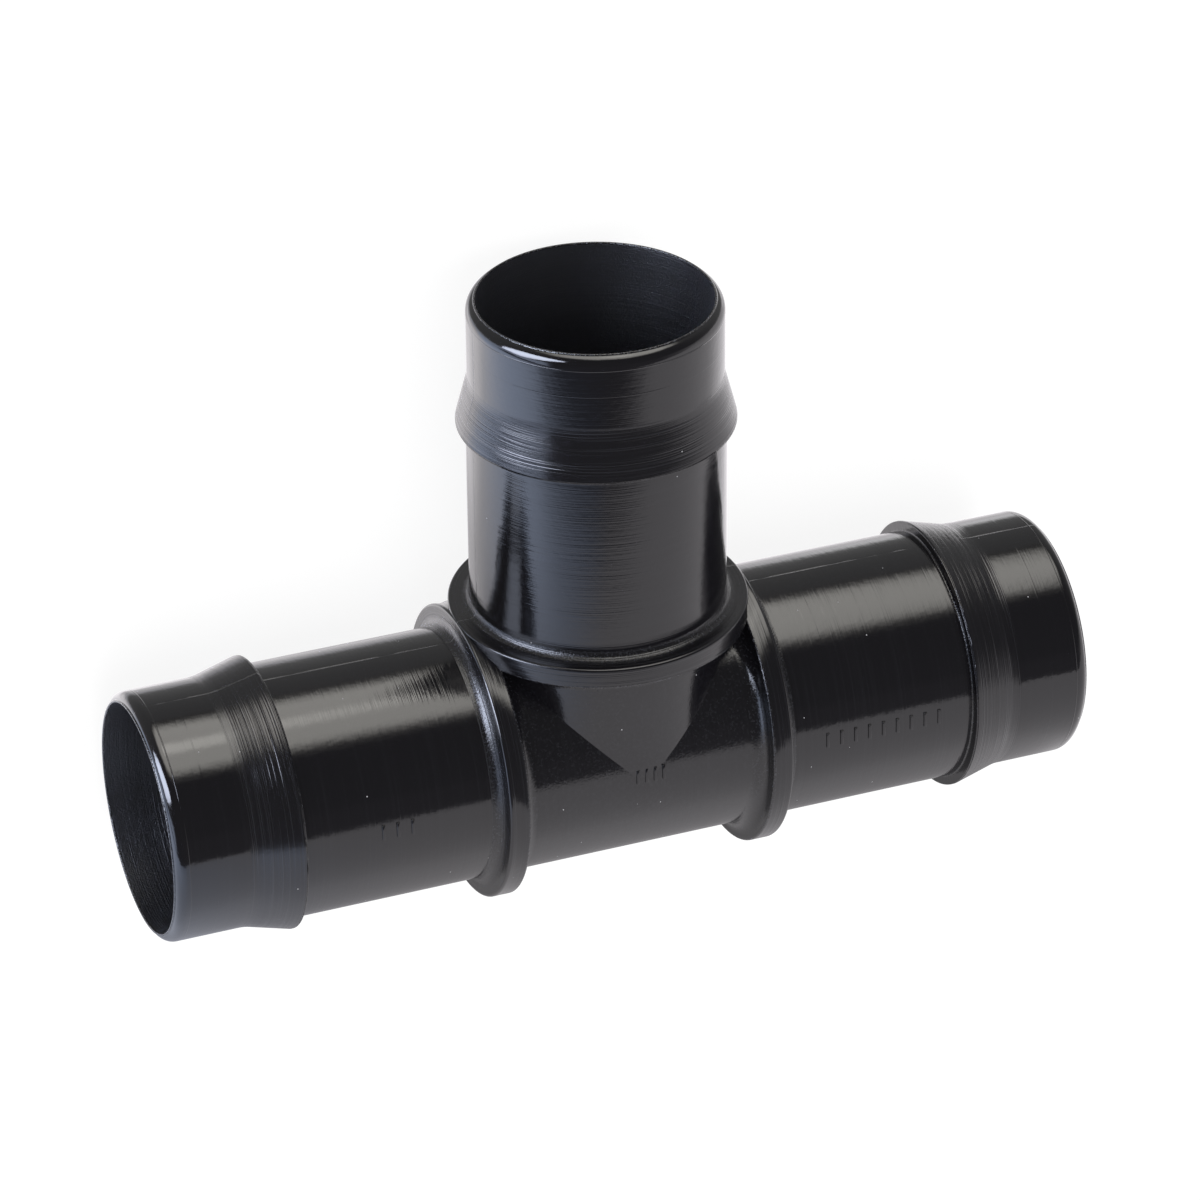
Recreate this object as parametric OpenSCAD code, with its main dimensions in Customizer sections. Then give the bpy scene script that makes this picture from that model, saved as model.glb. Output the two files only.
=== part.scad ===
// Tee connector for hose, moulded in one piece.
//
// Two spigots lie in line along X and the third, the branch, points along +Y.
// The axes cross at the origin and the middle plane of the tee is Z = 0, so the
// tee lies flat as it would on a bench, on the rims of its three collars.

/* [Hose] */
// Outside diameter of the shanks, where the hose grips
shank_d = 32; // [24:0.5:48]
// Wall between the bore and the outside of a shank
wall = 1.4; // [1.1:0.1:3]

/* [Spigots] */
// Tip of one run spigot to the tip of the other
run_length = 121.6; // [106:0.2:170]
// Crossing of the axes to the tip of the branch
branch_reach = 60.2; // [53:0.2:90]
// Height of the barb above the shank
barb_rise = 1.25; // [0.6:0.05:2.2]
// Length of the ramp that leads the hose up onto the barb
ramp_length = 6; // [3:0.2:9]
// Narrow flat along the crest of the barb
crest_land = 0.3; // [0.2:0.05:0.8]
// Fillet behind the barb, where its back meets the shank
barb_fillet = 0.5; // [0.2:0.05:0.9]
// Length of the plain pilot between the ramp and the tip
pilot_length = 10.4; // [7:0.2:14]
// How far the pilot lies below the shank
pilot_drop = 0.25; // [0.1:0.05:0.4]
// Blend where the pilot runs into the ramp
ramp_blend = 6; // [2:0.5:10]
// Length along the axis of the rounding at the tip
tip_rounding = 1.6; // [0.8:0.1:3]
// Flat ring left on the end face, beside the bore
tip_land = 0.2; // [0.1:0.05:0.3]

/* [Collars] */
// Height of a collar above the shank
collar_rise = 2.7; // [2:0.1:4]
// Width of a collar along its spigot
collar_width = 2.7; // [2.2:0.05:4.5]
// Gap between the outside of the crossing tube and a collar's inner face
collar_offset = 0.1; // [0:0.1:2]
// Fillets at the foot of a collar
collar_fillet = 1.1; // [0.5:0.1:1.5]
// Rounding on both edges of a collar's rim
collar_edge = 0.6; // [0.2:0.05:1]

/* [Hidden] */
$fn = 96;
arc_steps = 6;

shank_r = shank_d / 2;
bore_r = shank_r - wall;
pilot_r = shank_r - pilot_drop;
barb_r = shank_r + barb_rise;
collar_r = shank_r + collar_rise;
collar_inner = shank_r + collar_offset;
collar_outer = collar_inner + collar_width;
overrun = 1;

function unit(v) = v / norm(v);

// Arc of radius r, tangent to both sides of the corner b between a and c.
// A radius of 0 leaves the corner sharp.
function rounded(a, b, c, r) =
    let (
        u = unit(a - b),
        v = unit(c - b),
        half = acos(u * v) / 2,
        reach = r / tan(half),
        middle = b + unit(u + v) * r / sin(half),
        from = b + u * reach - middle,
        to = b + v * reach - middle,
        swing = 180 - 2 * half,
        turn = from[0] * to[1] - from[1] * to[0] > 0 ? swing : -swing
    )
    r == 0 ? [b] : [
        for (i = [0 : arc_steps])
            let (t = turn * i / arc_steps)
            middle + [
                from[0] * cos(t) - from[1] * sin(t),
                from[0] * sin(t) + from[1] * cos(t)
            ]
    ];

// Quarter ellipse that rounds the outside of a tip down to its end face
function tip_round(reach) =
    let (drop = pilot_r - bore_r - tip_land)
    [
        for (i = [0 : arc_steps])
            let (t = 90 * i / arc_steps)
            [pilot_r - drop * (1 - cos(t)), reach - tip_rounding * (1 - sin(t))]
    ];

// Corners of a spigot's outline as [radius, distance along the axis, rounding]
function spigot_corners(reach) =
    let (
        ramp_foot = reach - pilot_length,
        barb_back = ramp_foot - ramp_length
    )
    [
        [shank_r, 0, 0],
        [shank_r, collar_inner, collar_fillet],
        [collar_r, collar_inner, collar_edge],
        [collar_r, collar_outer, collar_edge],
        [shank_r, collar_outer, collar_fillet],
        [shank_r, barb_back, barb_fillet],
        [barb_r, barb_back, 0],
        [barb_r, barb_back + crest_land, 0],
        [pilot_r, ramp_foot, ramp_blend],
        [pilot_r, reach, 0]
    ];

function spigot_outline(reach) =
    let (
        corners = spigot_corners(reach),
        last = len(corners) - 1,
        points = [for (k = corners) [k[0], k[1]]]
    )
    concat(
        [[0, 0], points[0]],
        [
            for (i = [1 : last - 1])
                each rounded(points[i - 1], points[i], points[i + 1], corners[i][2])
        ],
        tip_round(reach),
        [[0, reach]]
    );

// Solid spigot along +Z, from the crossing of the axes to its tip
module spigot(reach) {
    rotate_extrude() polygon(spigot_outline(reach));
}

// Bore along +Z, from the crossing of the axes out through a tip
module spigot_bore(reach) {
    cylinder(h = reach + overrun, r = bore_r);
}

module tee_body() {
    color([0.09, 0.09, 0.1])
    difference() {
        union() {
            for (side = [-1, 1]) rotate([0, side * 90, 0]) spigot(run_length / 2);
            rotate([-90, 0, 0]) spigot(branch_reach);
        }
        rotate([0, 90, 0])
            cylinder(h = run_length + 2 * overrun, r = bore_r, center = true);
        rotate([-90, 0, 0]) spigot_bore(branch_reach);
    }
}

tee_body();
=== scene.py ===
# %% [markdown]
# # A barbed hose tee, dressed for its picture
#
# The part is one moulding of glossy black plastic: a straight run with a branch
# square to it, a round collar where each of the three spigots leaves the hub, and a
# barb and a smooth pilot at the end of each, for a hose to grip.
#
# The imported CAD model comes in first, as a frame that nothing here moves. It sets
# the size of everything below. Its box is kept, because the dressed part has to
# stay inside it.

import math

import bmesh
import bpy
from mathutils import Matrix, Vector


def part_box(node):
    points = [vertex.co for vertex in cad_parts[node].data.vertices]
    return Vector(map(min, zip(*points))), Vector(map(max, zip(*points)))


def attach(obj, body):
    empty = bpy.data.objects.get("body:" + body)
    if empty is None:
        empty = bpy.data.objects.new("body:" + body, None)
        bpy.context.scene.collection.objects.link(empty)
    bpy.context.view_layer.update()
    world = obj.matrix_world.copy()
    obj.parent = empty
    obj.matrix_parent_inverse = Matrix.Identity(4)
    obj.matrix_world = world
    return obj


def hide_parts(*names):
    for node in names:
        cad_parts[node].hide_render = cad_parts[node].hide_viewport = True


MM = 0.001

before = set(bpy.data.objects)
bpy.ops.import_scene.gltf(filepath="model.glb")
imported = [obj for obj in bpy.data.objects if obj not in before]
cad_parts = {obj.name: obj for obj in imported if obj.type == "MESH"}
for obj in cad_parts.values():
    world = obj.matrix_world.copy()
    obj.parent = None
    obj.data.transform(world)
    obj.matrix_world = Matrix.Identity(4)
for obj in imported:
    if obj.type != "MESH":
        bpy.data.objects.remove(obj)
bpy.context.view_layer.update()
cad_low, cad_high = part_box("tee_body")
print("CAD box in mm:", [round(v / MM, 2) for v in (*cad_low, *cad_high)])

# %% [markdown]
# ## The sizes of the fitting
#
# The run lies along X, the branch points along Y, and Z is square to both. The
# reach of the spigots and the height of the collars are read from the CAD box. The
# other sizes are those that the part was drawn with, in millimetres, but for the bore,
# which is a tenth narrower in radius here. `radius` is always measured from the axis of
# a spigot, and `distance` along that axis from the point where the axes cross.

# %% Driving sizes
run_reach = cad_high[0] / MM
branch_reach = cad_high[1] / MM
collar_radius = cad_high[2] / MM

shank_radius = 16.0
bore_radius = 14.5
barb_radius = 17.25
pilot_radius = 15.75
collar_inner = 16.1
collar_outer = 18.8
pilot_length = 10.4
ramp_length = 6.0
crest_land = 0.3
lip_long = 1.5
lip_deep = pilot_radius - bore_radius
print("reach of run and branch:", round(run_reach, 2), round(branch_reach, 2))

# %% [markdown]
# ## One outline for every spigot
#
# A spigot is a turned shape, so it can be drawn as a line of (distance, radius)
# points and swept round its axis, as a lathe would cut it. The line starts on the
# hub, climbs over the collar, runs along the shank, over the barb and the pilot,
# turns in at the lip and comes back down the bore to the middle.
#
# No corner of a moulding is perfectly sharp, and a sharp corner catches no light.
# Each corner is therefore replaced by a short arc. Each point also carries how
# strongly the lathe marks of the mould show there, and how frosty the surface is.
# The mould was polished on the long plain stretches and hardly in the corners.

# %% Corners of the outline
RUN_FILLET = 1.4
BRANCH_FILLET = 1.0
LIP_DOWN = 0.16
LIP_LEAD = 0.4


class Corner:
    """A corner of the outline, and the finish of the stretch that leads up to it."""

    def __init__(self, distance, radius, rounding=0.0, tooled=0.2, frosted=0.0):
        self.at = Vector((distance, radius))
        self.rounding = rounding
        self.tooled = tooled
        self.frosted = frosted


def spigot_corners(reach, fillet):
    """The corners from the hub to where the tip starts to round off."""
    pilot_start = reach - pilot_length
    barb_back = pilot_start - ramp_length
    return [
        Corner(0.0, shank_radius),
        Corner(collar_inner, shank_radius, 1.8, tooled=0.3, frosted=0.15),
        Corner(collar_inner, collar_radius, 0.25, tooled=0.7, frosted=0.35),
        Corner(collar_outer, collar_radius, 0.35, tooled=0.8, frosted=0.0),
        Corner(collar_outer, shank_radius, fillet, tooled=1.5, frosted=0.22),
        Corner(barb_back, shank_radius, 0.2, tooled=0.35, frosted=0.3),
        Corner(barb_back, barb_radius, 0.1, tooled=0.3, frosted=0.2),
        Corner(barb_back + crest_land, barb_radius, 0.15, tooled=0.6),
        Corner(pilot_start, pilot_radius, 6.0, tooled=1.2),
        Corner(reach - LIP_DOWN - lip_long, pilot_radius, 0.0, tooled=0.2),
    ]


print("corners on a spigot:", len(spigot_corners(run_reach, RUN_FILLET)))

# %% [markdown]
# The arc in a corner touches both of its sides. Its radius is swung from one touching
# point to the other in even steps. Just outside both ends of the arc comes one more
# point, so that the flat stretch beside it stays flat when the shading is smooth.

# %% Rounding a corner
SUPPORT = 0.12
ARC_STEPS = 9


def corner_arc(before, corner, after, steps):
    """Points of the arc that rounds a corner, from the side before to the side after."""
    back = (before.at - corner.at).normalized()
    ahead = (after.at - corner.at).normalized()
    half = back.angle(ahead) / 2
    touch = corner.rounding / math.tan(half)
    centre = corner.at + (back + ahead).normalized() * corner.rounding / math.sin(half)
    spoke = corner.at + back * touch - centre
    turn = spoke.angle_signed(corner.at + ahead * touch - centre)
    arc = []
    for step in range(steps + 1):
        swung = spoke.copy()
        swung.rotate(Matrix.Rotation(-turn * step / steps, 2))
        arc.append(centre + swung)
    return arc, back, ahead


def outer_rows(reach, fillet):
    """Rows (distance, radius, tooled, frosted, inside) of the outer skin."""
    corners = spigot_corners(reach, fillet)
    rows = []
    for before, corner, after in zip(corners, corners[1:], corners[2:]):
        arc, back, ahead = corner_arc(before, corner, after, ARC_STEPS)
        rows.append((*(arc[0] + back * SUPPORT), corner.tooled, 0.0, 0.0))
        for point in arc:
            rows.append((*point, corner.tooled, corner.frosted, 0.0))
        rows.append((*(arc[-1] + ahead * SUPPORT), after.tooled, 0.0, 0.0))
    return rows


print("rows on the outer skin of a spigot:", len(outer_rows(run_reach, RUN_FILLET)))

# %% [markdown]
# ## The hub, the lip and the bore
#
# On the hub the run and the branch meet along a V-shaped edge. On two round bars of
# one radius, that edge lies where the distance from the middle equals the radius
# times the cosine of the angle round the axis. Rows spaced evenly by that angle
# follow it closely, so the hub and the inside of the bore both use them. The tip is
# rounded by a quarter of an ellipse that starts on the pilot. Where it meets the bore
# the mould leaves a fine bead of flash, a seventh of a millimetre high, which draws a
# thin bright line round the mouth.

# %% Rows of the hub, the bore and the lip
HUB_STEPS = 34
BORE_STEPS = 24
LIP_STEPS = 14
FLASH = 0.15
FLASH_UP = 0.15
FLASH_TURNS = (25.0, 60.0, 90.0, 135.0, 180.0)
HUB_FINISH = (0.25, 0.08, 0.0)
LIP_FINISH = (0.12, 0.0, 0.0)
FLASH_FINISH = (0.1, 0.8, 0.0)
BORE_FINISH = (0.0, 0.0, 1.0)


def crossing_rows(radius, last, steps, finish):
    """Rows on a plain bar or bore, from the middle to the distance `last`."""
    end = math.acos(min(1.0, last / radius))
    angles = [math.pi / 2 + (end - math.pi / 2) * k / steps for k in range(steps + 1)]
    return [(radius * math.cos(angle), radius, *finish) for angle in angles]


def lip_rows(reach):
    """Rows over the rounded tip and the bead of flash where it meets the bore."""
    start = reach - LIP_DOWN - lip_long
    last = math.acos(2 * FLASH / lip_deep)
    rows = [(start - LIP_LEAD, pilot_radius, *LIP_FINISH)]
    for step in range(LIP_STEPS + 1):
        swing = last * step / LIP_STEPS
        distance = start + lip_long * math.sin(swing)
        rows.append((distance, bore_radius + lip_deep * math.cos(swing), *LIP_FINISH))
    bead = reach - LIP_DOWN - FLASH + FLASH_UP
    for degrees in FLASH_TURNS:
        swing = math.radians(degrees)
        distance = bead + FLASH * math.sin(swing)
        radius = bore_radius + FLASH * (1 + math.cos(swing))
        rows.append((distance, radius, *FLASH_FINISH))
    rows.append((bead - FLASH, bore_radius, *BORE_FINISH))
    return rows


print("rows on a lip:", len(lip_rows(run_reach)))

# %% [markdown]
# The pieces of the outline are now put in order: hub, collar to pilot, lip, bore. The
# row at which run and branch part is added, so that both skins have it. Last, each row
# learns how far along the outline it lies from the lip, because the rings of the mould
# are counted from there.

# %% The whole outline
DEEP_IN_BORE = (45.0, 30.0, 18.0)
SAME_SPOT = 1e-12


def with_parting_row(rows):
    """Adds the row where distance equals radius, at which run and branch part."""
    full = [rows[0]]
    for last, row in zip(rows, rows[1:]):
        gap_before = last[1] - last[0]
        gap_after = row[1] - row[0]
        if gap_before * gap_after < -SAME_SPOT:
            share = gap_before / (gap_before - gap_after)
            full.append(tuple(a + (b - a) * share for a, b in zip(last, row)))
        full.append(row)
    return full


def with_path(rows):
    """Adds to each row its way along the outline from the lip, which is negative inside."""
    lengths = [0.0]
    for last, row in zip(rows, rows[1:]):
        lengths.append(lengths[-1] + math.dist(last[:2], row[:2]))
    farthest = max(row[0] for row in rows)
    lip = [row[0] for row in rows].index(farthest)
    return [(*row, lengths[lip] - length) for row, length in zip(rows, lengths)]


def spigot_outline(reach, fillet):
    """The whole outline: out over the hub and the spigot, and back along the bore."""
    outer = outer_rows(reach, fillet)
    hub = crossing_rows(shank_radius, outer[0][0], HUB_STEPS, HUB_FINISH)
    bore = crossing_rows(bore_radius, bore_radius, BORE_STEPS, BORE_FINISH)
    deep = [(distance, bore_radius, *BORE_FINISH) for distance in DEEP_IN_BORE]
    rows = hub[:-1] + outer + lip_rows(reach) + deep + bore[::-1]
    return with_path(with_parting_row(rows))


run_outline = spigot_outline(run_reach, RUN_FILLET)
branch_outline = spigot_outline(branch_reach, BRANCH_FILLET)
print("rows in an outline:", len(run_outline))

# %% [markdown]
# ## Small helpers for node trees
#
# A node tree reads best when a call names the node, its inputs and its settings in
# one place. These helpers set a plain value on a socket, or link it where the value
# is another node's output. The same helpers build the geometry trees and the
# materials.

# %% Node helpers
def plug(tree, socket, value):
    """Links a socket to another node's output, or gives it a plain value."""
    if isinstance(value, bpy.types.NodeSocket):
        tree.links.new(value, socket)
    else:
        socket.default_value = value


def add_node(tree, kind, inputs=None, **settings):
    """Adds a node with its settings and inputs, and returns it."""
    node = tree.nodes.new(kind)
    for name, value in settings.items():
        setattr(node, name, value)
    for name, value in (inputs or {}).items():
        plug(tree, node.inputs[name], value)
    return node


print("node helpers ready")

# %% [markdown]
# Most of the nodes only do sums. With a name for each kind of sum, a formula in a tree
# can be read almost as it would be written on paper. `ease` lets a value change softly
# between two places.

# %% Sums, vectors and colours
def calc(tree, operation, *values):
    """A Math node; returns its output."""
    node = add_node(tree, "ShaderNodeMath", operation=operation)
    for socket, value in zip(node.inputs, values):
        plug(tree, socket, value)
    return node.outputs[0]


def product(tree, first, *factors):
    """The product of several values."""
    for factor in factors:
        first = calc(tree, "MULTIPLY", first, factor)
    return first


def total(tree, first, *terms):
    """The sum of several values."""
    for term in terms:
        first = calc(tree, "ADD", first, term)
    return first


def vector(tree, x, y, z):
    """A vector put together from three numbers."""
    return add_node(tree, "ShaderNodeCombineXYZ", {"X": x, "Y": y, "Z": z}).outputs[0]


def separate(tree, value):
    """The sockets X, Y and Z of a vector."""
    return add_node(tree, "ShaderNodeSeparateXYZ", {"Vector": value}).outputs


def ease(tree, value, start, end, low=0.0, high=1.0):
    """A value that moves smoothly from low to high while `value` goes from start to end."""
    node = add_node(
        tree,
        "ShaderNodeMapRange",
        {"Value": value, "From Min": start, "From Max": end, "To Min": low, "To Max": high},
        interpolation_type="SMOOTHSTEP",
    )
    return node.outputs["Result"]


def colour_mix(tree, share, first, second):
    """A colour between two, by share."""
    node = add_node(tree, "ShaderNodeMix", {0: share}, data_type="RGBA")
    plug(tree, node.inputs[6], first)
    plug(tree, node.inputs[7], second)
    return node.outputs[2]


print("sums ready")

# %% [markdown]
# A node group is fed through named sockets. A tree that makes a piece ends the same way
# each time, with real geometry that has the material on it.

# %% Groups with named sockets
def new_tree(name, kind, inputs, outputs):
    """A node group with named sockets, and the sockets inside it of both kinds."""
    tree = bpy.data.node_groups.new(name, kind)
    for in_out, sockets in (("INPUT", inputs), ("OUTPUT", outputs)):
        for label, sort in sockets.items():
            tree.interface.new_socket(label, in_out=in_out, socket_type="NodeSocket" + sort)
    given = tree.nodes.new("NodeGroupInput").outputs
    result = tree.nodes.new("NodeGroupOutput").inputs
    return tree, given, result


def socket_id(tree, name):
    """The identifier of a tree's input, which a modifier needs to set it."""
    for item in tree.interface.items_tree:
        if item.in_out == "INPUT" and item.name == name:
            return item.identifier
    raise KeyError(name)


def give_material(tree, mesh, given, result):
    """Ends a geometry tree: real geometry with the material on it."""
    real = add_node(tree, "GeometryNodeRealizeInstances", {"Geometry": mesh})
    dressed = add_node(
        tree,
        "GeometryNodeSetMaterial",
        {"Geometry": real.outputs[0], "Material": given["Material"]},
    )
    tree.links.new(dressed.outputs[0], result["Geometry"])


print("group helpers ready")

# %% [markdown]
# ## Sweeping an outline round its axis
#
# The finish of each row travels with the mesh: every point carries a few named
# numbers, which the geometry trees write and read, and which the material reads too.

# %% Numbers on the mesh
FINISHES = ("tooled", "frosted", "inside", "path")


def stored(tree, name):
    """A number that each point of the mesh carries under a name."""
    node = add_node(tree, "GeometryNodeInputNamedAttribute", {"Name": name}, data_type="FLOAT")
    return node.outputs["Attribute"]


def store(tree, mesh, name, value):
    """The mesh with a number stored on each of its points."""
    node = add_node(
        tree,
        "GeometryNodeStoreNamedAttribute",
        {"Geometry": mesh, "Name": name, "Value": value},
        data_type="FLOAT",
        domain="POINT",
    )
    return node.outputs["Geometry"]


print("each point carries", len(FINISHES), "numbers")

# %% [markdown]
# On the hub a row doesn't go all the way round: it leaves out what lies inside the
# other bar. The angle it starts at is the arc cosine of distance over radius, so that
# the two skins end on the same V-shaped edge. A branch is the same skin as an arm of
# the run, with X and Y swapped.

# %% Where a point of the skin lies
def start_angle(tree, drawn):
    """The angle at which a row of the skin starts, nought where it goes all round."""
    ratio = calc(tree, "DIVIDE", drawn["X"], drawn["Y"])
    return calc(tree, "ARCCOSINE", calc(tree, "MINIMUM", ratio, 1.0))


def swept_place(tree, given, drawn, start, across):
    """Where a point comes to lie whose row is drawn at (distance, radius)."""
    span = calc(tree, "SUBTRACT", given["Sweep"], product(tree, start, 2.0))
    angle = total(tree, start, product(tree, span, across))
    beside = product(tree, drawn["Y"], calc(tree, "COSINE", angle))
    above = product(tree, drawn["Y"], calc(tree, "SINE", angle))
    on_run = vector(tree, drawn["X"], beside, above)
    on_branch = vector(tree, beside, drawn["X"], above)
    choice = {"Switch": given["Branch"], "False": on_run, "True": on_branch}
    chosen = add_node(tree, "GeometryNodeSwitch", choice, input_type="VECTOR")
    return chosen.outputs["Output"]


print("sweep helpers ready")

# %% [markdown]
# The tree bends a flat grid into the skin of a spigot. Each row of the grid takes its
# distance and radius from one point of the outline, and the columns go round the axis.
# The ends of the rows that leave something out are marked as the mitre, the V-shaped
# edge where two skins will meet.

# %% Geometry tree: swept skin
AT_SIDE = 0.4999
CUT_OUT = 0.001


def build_swept_skin():
    """The node group that turns an outline into the skin of one spigot."""
    tree, given, result = new_tree(
        "swept skin",
        "GeometryNodeTree",
        inputs={"Outline": "Geometry", "Columns": "Int", "Sweep": "Float", "Branch": "Bool"},
        outputs={"Skin": "Geometry"},
    )
    outline = given["Outline"]
    rows = add_node(tree, "GeometryNodeAttributeDomainSize", {"Geometry": outline})
    rows = rows.outputs["Point Count"]
    grid = add_node(
        tree,
        "GeometryNodeMeshGrid",
        {"Size X": 1.0, "Size Y": 1.0, "Vertices X": given["Columns"], "Vertices Y": rows},
    )
    place = separate(tree, add_node(tree, "GeometryNodeInputPosition").outputs[0])
    across = total(tree, place["X"], 0.5)
    along = total(tree, place["Y"], 0.5)
    row = calc(tree, "ROUND", product(tree, along, calc(tree, "SUBTRACT", rows, 1.0)))

    def from_outline(value, data_type="FLOAT"):
        """The value that the outline's point for this row carries."""
        sample = add_node(
            tree,
            "GeometryNodeSampleIndex",
            {"Geometry": outline, "Value": value, "Index": row},
            data_type=data_type,
            domain="POINT",
        )
        return sample.outputs["Value"]

    drawn = add_node(tree, "GeometryNodeInputPosition").outputs[0]
    drawn = separate(tree, from_outline(drawn, "FLOAT_VECTOR"))
    start = start_angle(tree, drawn)
    swept = swept_place(tree, given, drawn, start, across)
    skin = grid.outputs["Mesh"]
    for finish in FINISHES:
        skin = store(tree, skin, finish, from_outline(stored(tree, finish)))
    at_side = calc(tree, "GREATER_THAN", calc(tree, "ABSOLUTE", place["X"]), AT_SIDE)
    on_mitre = product(tree, at_side, calc(tree, "GREATER_THAN", start, CUT_OUT))
    skin = store(tree, skin, "mitre", on_mitre)
    moved = add_node(tree, "GeometryNodeSetPosition", {"Geometry": skin, "Position": swept})
    tree.links.new(moved.outputs["Geometry"], result["Skin"])
    return tree


swept_skin = build_swept_skin()
print("swept skin has", len(swept_skin.nodes), "nodes")

# %% [markdown]
# ## The whole tee from one half
#
# The tee looks the same when it is turned half round the axis of its branch, so the
# tree makes one arm of the run and one half of the branch, copies both with that
# turn, and welds the pieces where they touch. The V-shaped edge stays crisp, and
# everything else is shaded smooth. A mould of two halves gives the real one the
# same symmetry.

# %% The other half, and the shading
ON_MITRE = 0.99


def with_half_turn(tree, half):
    """A half of the tee together with its copy, turned round the branch."""
    half_turn = (0.0, math.pi, 0.0)
    turned = add_node(tree, "GeometryNodeTransform", {"Geometry": half, "Rotation": half_turn})
    whole = add_node(tree, "GeometryNodeJoinGeometry")
    tree.links.new(half, whole.inputs[0])
    tree.links.new(turned.outputs[0], whole.inputs[0])
    return whole.outputs[0]


def shaded(tree, mesh):
    """The mesh shaded smooth, but for the edges of the mitre."""
    smooth = add_node(tree, "GeometryNodeSetShadeSmooth", {"Geometry": mesh}, domain="FACE")
    mitre = calc(tree, "GREATER_THAN", stored(tree, "mitre"), ON_MITRE)
    settings = {"Geometry": smooth.outputs[0], "Selection": mitre, "Shade Smooth": False}
    crisp = add_node(tree, "GeometryNodeSetShadeSmooth", settings, domain="EDGE")
    return crisp.outputs[0]


print("turn and shading helpers ready")

# %% [markdown]
# An arm of the run goes all the way round. Of the branch only the half on one side is
# made, so it gets half of the sweep and half of the columns.

# %% Geometry tree: moulded tee
def build_moulded_tee():
    """The node tree that sweeps both outlines and welds the halves into one tee."""
    tree, given, result = new_tree(
        "moulded tee",
        "GeometryNodeTree",
        inputs={
            "Geometry": "Geometry",
            "Run Outline": "Object",
            "Branch Outline": "Object",
            "Columns": "Int",
            "Weld Distance": "Float",
            "Material": "Material",
        },
        outputs={"Geometry": "Geometry"},
    )
    tree.is_modifier = True
    columns = given["Columns"]
    halves = add_node(tree, "GeometryNodeJoinGeometry")
    arms = (
        ("Run", False, 2 * math.pi, columns),
        ("Branch", True, math.pi, calc(tree, "ROUND", calc(tree, "DIVIDE", columns, 2.0))),
    )
    for label, is_branch, sweep, count in arms:
        drawn = given[label + " Outline"]
        outline = add_node(tree, "GeometryNodeObjectInfo", {"Object": drawn})
        skin = add_node(tree, "GeometryNodeGroup", node_tree=swept_skin)
        plug(tree, skin.inputs["Outline"], outline.outputs["Geometry"])
        plug(tree, skin.inputs["Columns"], count)
        plug(tree, skin.inputs["Sweep"], sweep)
        plug(tree, skin.inputs["Branch"], is_branch)
        tree.links.new(skin.outputs["Skin"], halves.inputs[0])
    whole = with_half_turn(tree, halves.outputs[0])
    weld = {"Geometry": whole, "Distance": given["Weld Distance"]}
    welded = add_node(tree, "GeometryNodeMergeByDistance", weld).outputs[0]
    give_material(tree, shaded(tree, welded), given, result)
    return tree


moulded_tee = build_moulded_tee()
print("moulded tee has", len(moulded_tee.nodes), "nodes")

# %% [markdown]
# ## The finish, part 1: what the mould leaves behind
#
# The plastic is black all through, and its look comes from its gloss. Three marks
# of the mould break that gloss up. Fine rings run round each spigot, where the
# steel was turned on a lathe: they are strongest on the ramps and at the foot of the
# shanks. The corners beside the collars are frosty, because no polishing stick
# reaches them. A thin raised line runs along the middle plane, where the halves of
# the mould meet.
#
# A wave in a Noise Texture is about as long as one divided by its scale. Its fourth
# coordinate turns it into rings: it grows with the `path` attribute, the way along the
# outline from the lip, much faster than the place does round the spigot. So each ring
# follows its own spigot, over ramps and collar faces alike.

# %% Noise for the marks
RING_SPREAD = 40.0
BROAD_SPREAD = 20.0


def noise(tree, place, scale, detail=2.0, roughness=0.5, w=None):
    """A Noise Texture centred on zero; a fourth coordinate may be given."""
    node = add_node(
        tree,
        "ShaderNodeTexNoise",
        {"Vector": place, "Scale": scale, "Detail": detail, "Roughness": roughness},
        noise_dimensions="4D" if w is not None else "3D",
    )
    if w is not None:
        plug(tree, node.inputs["W"], w)
    return calc(tree, "SUBTRACT", node.outputs["Fac"], 0.5)


def ring_noise(tree, place, path, per_mm, spread=RING_SPREAD, detail=1.0):
    """Noise drawn out into rings, `per_mm` of them to each millimetre of the path."""
    w = product(tree, path, per_mm / spread)
    return noise(tree, place, spread, detail=detail, w=w)


print("a ring keeps its depth for about", round(1000 / RING_SPREAD), "mm round the spigot")

# %% [markdown]
# A node group will add the marks up, as a height in millimetres. The functions below
# each make one kind of mark, and `given` holds the sockets that the group is fed with.
# The rings come at two widths, and the bore has only very fine ones. Where a fine ring
# stands high, the skin is scuffed a little paler.

# %% Marks: lathe rings
FINE_PER_MM = 6.8
BROAD_PER_MM = 1.2
HAIR_PER_MM = 18.0
BROAD_SHARE = 0.8
HAIR_SHARE = 0.7
SCUFF_FROM = 0.02
SCUFF_FULL = 0.22


def lathe_rings(tree, given):
    """Height of the rings, and a mask of the skin that they scuff."""
    place = given["Place"]
    path = given["Path"]
    fine = ring_noise(tree, place, path, FINE_PER_MM)
    broad = ring_noise(tree, place, path, BROAD_PER_MM, BROAD_SPREAD)
    rings = total(tree, fine, product(tree, broad, BROAD_SHARE))
    rings = product(tree, rings, given["Tooled"])
    hair = ring_noise(tree, place, path, HAIR_PER_MM, detail=0.0)
    rings = total(tree, rings, product(tree, hair, HAIR_SHARE, given["Inside"]))
    scuffs = product(tree, ease(tree, fine, SCUFF_FROM, SCUFF_FULL), given["Tooled"])
    return product(tree, rings, given["Ring Height"]), scuffs


print("fine rings in a millimetre:", FINE_PER_MM)

# %% [markdown]
# Frost is a fine grain, in the corners and a little in the bore. The polished stretches
# wave slightly, over about a centimetre, and are mottled over less than a millimetre.
# Both show only in the edges of what the gloss mirrors.

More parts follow.
